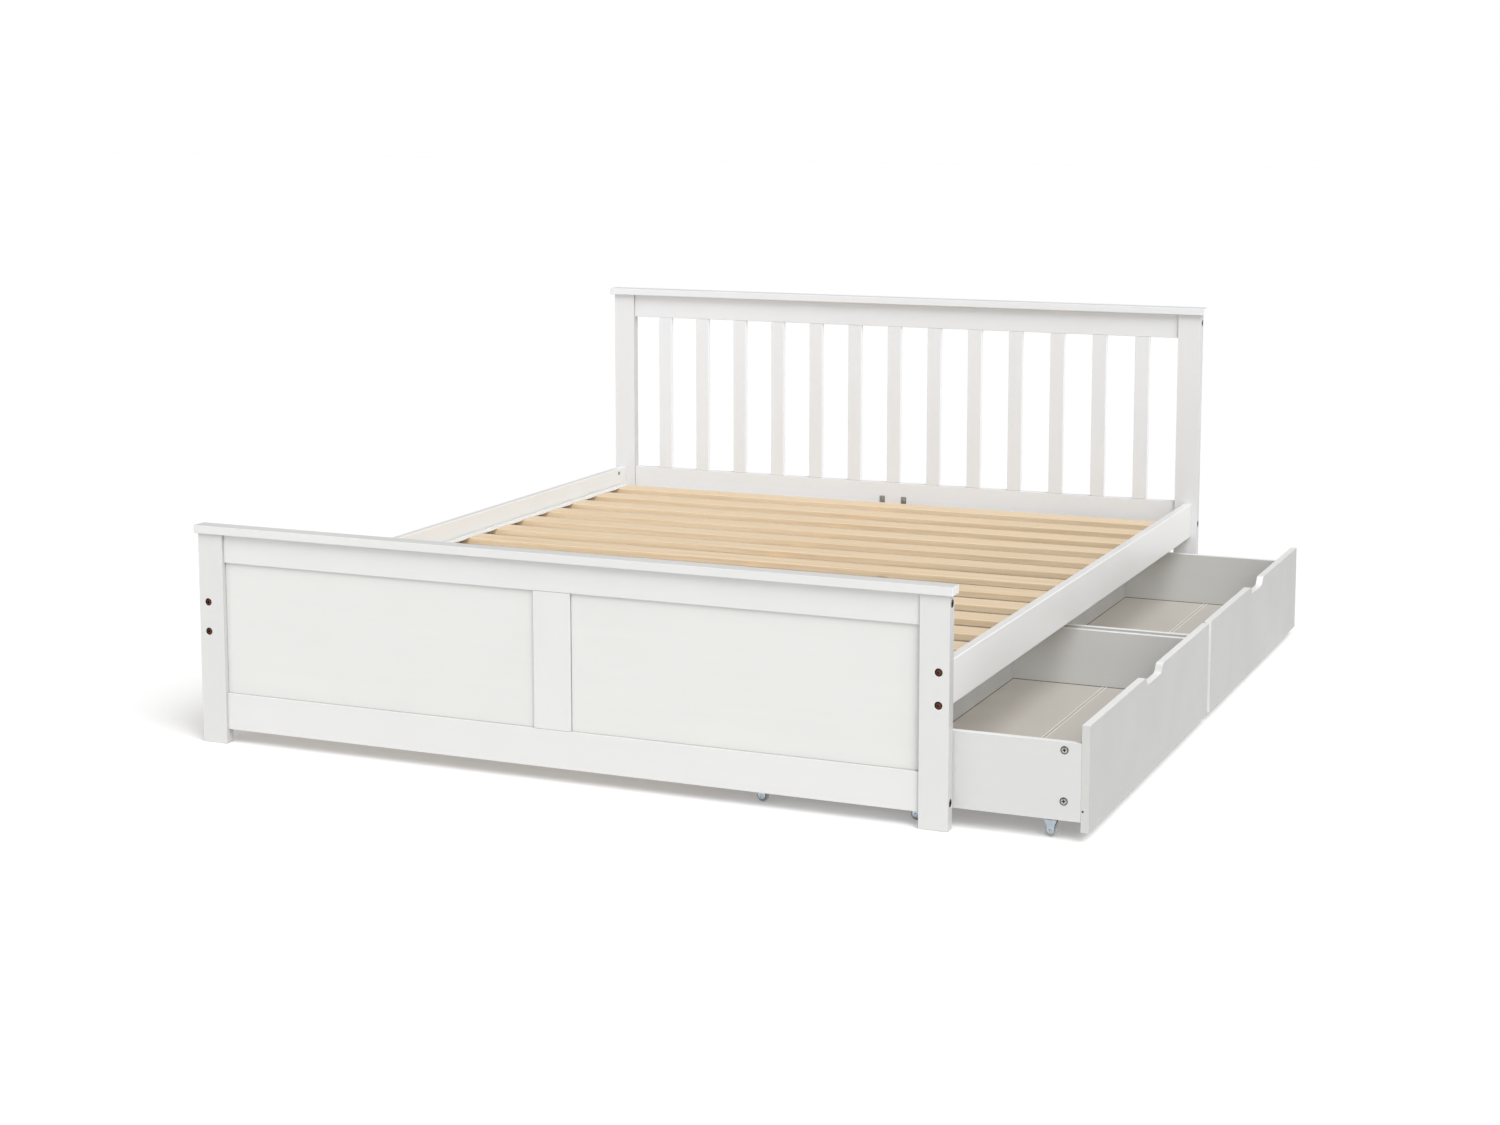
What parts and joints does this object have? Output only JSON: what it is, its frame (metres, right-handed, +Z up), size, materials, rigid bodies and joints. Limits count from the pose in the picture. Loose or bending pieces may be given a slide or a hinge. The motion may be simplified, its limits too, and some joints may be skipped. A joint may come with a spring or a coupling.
{
  "type": "bed frame",
  "caption": "Painted wooden double bed frame with a slatted headboard, a low panelled footboard, a slatted base and two under-bed drawers that roll out on castors.",
  "frame": {"origin": "on the floor, at the centre of the middle leg's foot, which is the middle of the bed frame in plan", "axes": "+X across the bed towards the side the drawers pull out of, +Y from the footboard to the headboard, +Z up"},
  "size_m": [2, 2.087, 0.8473],
  "materials": {
    "painted_wood": "satin white paint over solid pine, faint grain",
    "painted_panel": "satin off-white paint on a thin board, smoother than the solid wood",
    "drawer_board": "satin white painted board",
    "hardboard": "matt grey-beige hardboard",
    "bare_wood": "unpainted sawn pine",
    "zinc_steel": "bright zinc-plated pressed steel",
    "castor_plastic": "grey nylon wheel"
  },
  "bodies": {
    "frame": {"headboard_post_left": "painted_wood", "headboard_post_right": "painted_wood", "headboard_cap": "painted_wood", "headboard_upper_rail": "painted_wood", "headboard_lower_rail": "painted_wood", "headboard_slat_01": "painted_wood", "headboard_slat_02": "painted_wood", "headboard_slat_03": "painted_wood", "headboard_slat_04": "painted_wood", "headboard_slat_05": "painted_wood", "headboard_slat_06": "painted_wood", "headboard_slat_07": "painted_wood", "headboard_slat_08": "painted_wood", "headboard_slat_09": "painted_wood", "headboard_slat_10": "painted_wood", "headboard_slat_11": "painted_wood", "headboard_slat_12": "painted_wood", "headboard_slat_13": "painted_wood", "footboard_post_left": "painted_wood", "footboard_post_right": "painted_wood", "footboard_cap": "painted_wood", "footboard_upper_rail": "painted_wood", "footboard_lower_rail": "painted_wood", "footboard_stile": "painted_wood", "footboard_panel_left": "painted_panel", "footboard_panel_right": "painted_panel", "side_rail_left": "painted_wood", "side_rail_right": "painted_wood", "slat_ledge_left": "bare_wood", "slat_ledge_right": "bare_wood", "centre_support": "bare_wood", "bed_slats": "bare_wood"},
    "foot_drawer": {"foot_drawer_front": "drawer_board", "foot_drawer_side_near": "drawer_board", "foot_drawer_side_far": "drawer_board", "foot_drawer_divider": "drawer_board", "foot_drawer_back": "drawer_board", "foot_drawer_base": "hardboard", "foot_drawer_castor_front_near_fork": "zinc_steel", "foot_drawer_castor_front_far_fork": "zinc_steel", "foot_drawer_castor_rear_near_fork": "zinc_steel", "foot_drawer_castor_rear_far_fork": "zinc_steel"},
    "head_drawer": {"head_drawer_front": "drawer_board", "head_drawer_side_near": "drawer_board", "head_drawer_side_far": "drawer_board", "head_drawer_divider": "drawer_board", "head_drawer_back": "drawer_board", "head_drawer_base": "hardboard", "head_drawer_castor_front_near_fork": "zinc_steel", "head_drawer_castor_front_far_fork": "zinc_steel", "head_drawer_castor_rear_near_fork": "zinc_steel", "head_drawer_castor_rear_far_fork": "zinc_steel"},
    "foot_drawer_castor_front_near_wheel_body": {"foot_drawer_castor_front_near_wheel": "castor_plastic"},
    "foot_drawer_castor_front_far_wheel_body": {"foot_drawer_castor_front_far_wheel": "castor_plastic"},
    "foot_drawer_castor_rear_near_wheel_body": {"foot_drawer_castor_rear_near_wheel": "castor_plastic"},
    "foot_drawer_castor_rear_far_wheel_body": {"foot_drawer_castor_rear_far_wheel": "castor_plastic"},
    "head_drawer_castor_front_near_wheel_body": {"head_drawer_castor_front_near_wheel": "castor_plastic"},
    "head_drawer_castor_front_far_wheel_body": {"head_drawer_castor_front_far_wheel": "castor_plastic"},
    "head_drawer_castor_rear_near_wheel_body": {"head_drawer_castor_rear_near_wheel": "castor_plastic"},
    "head_drawer_castor_rear_far_wheel_body": {"head_drawer_castor_rear_far_wheel": "castor_plastic"}
  },
  "joints": [
    {"name": "foot_drawer_slide", "type": "slide", "parent": "frame", "child": "foot_drawer", "axis": [1, 0, 0], "range_m": [-0.284, 0.4]},
    {"name": "foot_drawer_castor_front_near_spin", "type": "hinge", "parent": "foot_drawer", "child": "foot_drawer_castor_front_near_wheel_body", "pos_m": [1.05, -0.979, 0.012], "axis": [0, 1, 0], "continuous": true},
    {"name": "foot_drawer_castor_front_far_spin", "type": "hinge", "parent": "foot_drawer", "child": "foot_drawer_castor_front_far_wheel_body", "pos_m": [1.05, -0.046, 0.012], "axis": [0, 1, 0], "continuous": true},
    {"name": "foot_drawer_castor_rear_near_spin", "type": "hinge", "parent": "foot_drawer", "child": "foot_drawer_castor_rear_near_wheel_body", "pos_m": [0.45, -0.979, 0.012], "axis": [0, 1, 0], "continuous": true},
    {"name": "foot_drawer_castor_rear_far_spin", "type": "hinge", "parent": "foot_drawer", "child": "foot_drawer_castor_rear_far_wheel_body", "pos_m": [0.45, -0.046, 0.012], "axis": [0, 1, 0], "continuous": true},
    {"name": "head_drawer_slide", "type": "slide", "parent": "frame", "child": "head_drawer", "axis": [1, 0, 0], "range_m": [-0.284, 0.4]},
    {"name": "head_drawer_castor_front_near_spin", "type": "hinge", "parent": "head_drawer", "child": "head_drawer_castor_front_near_wheel_body", "pos_m": [1.05, 0.031, 0.012], "axis": [0, 1, 0], "continuous": true},
    {"name": "head_drawer_castor_front_far_spin", "type": "hinge", "parent": "head_drawer", "child": "head_drawer_castor_front_far_wheel_body", "pos_m": [1.05, 0.964, 0.012], "axis": [0, 1, 0], "continuous": true},
    {"name": "head_drawer_castor_rear_near_spin", "type": "hinge", "parent": "head_drawer", "child": "head_drawer_castor_rear_near_wheel_body", "pos_m": [0.45, 0.031, 0.012], "axis": [0, 1, 0], "continuous": true},
    {"name": "head_drawer_castor_rear_far_spin", "type": "hinge", "parent": "head_drawer", "child": "head_drawer_castor_rear_far_wheel_body", "pos_m": [0.45, 0.964, 0.012], "axis": [0, 1, 0], "continuous": true}
  ],
  "couplings": [
    {"joint": "foot_drawer_castor_front_near_spin", "follows": "foot_drawer_slide", "rad_per_m": 83.333},
    {"joint": "foot_drawer_castor_front_far_spin", "follows": "foot_drawer_slide", "rad_per_m": 83.333},
    {"joint": "foot_drawer_castor_rear_near_spin", "follows": "foot_drawer_slide", "rad_per_m": 83.333},
    {"joint": "foot_drawer_castor_rear_far_spin", "follows": "foot_drawer_slide", "rad_per_m": 83.333},
    {"joint": "head_drawer_castor_front_near_spin", "follows": "head_drawer_slide", "rad_per_m": 83.333},
    {"joint": "head_drawer_castor_front_far_spin", "follows": "head_drawer_slide", "rad_per_m": 83.333},
    {"joint": "head_drawer_castor_rear_near_spin", "follows": "head_drawer_slide", "rad_per_m": 83.333},
    {"joint": "head_drawer_castor_rear_far_spin", "follows": "head_drawer_slide", "rad_per_m": 83.333}
  ]
}
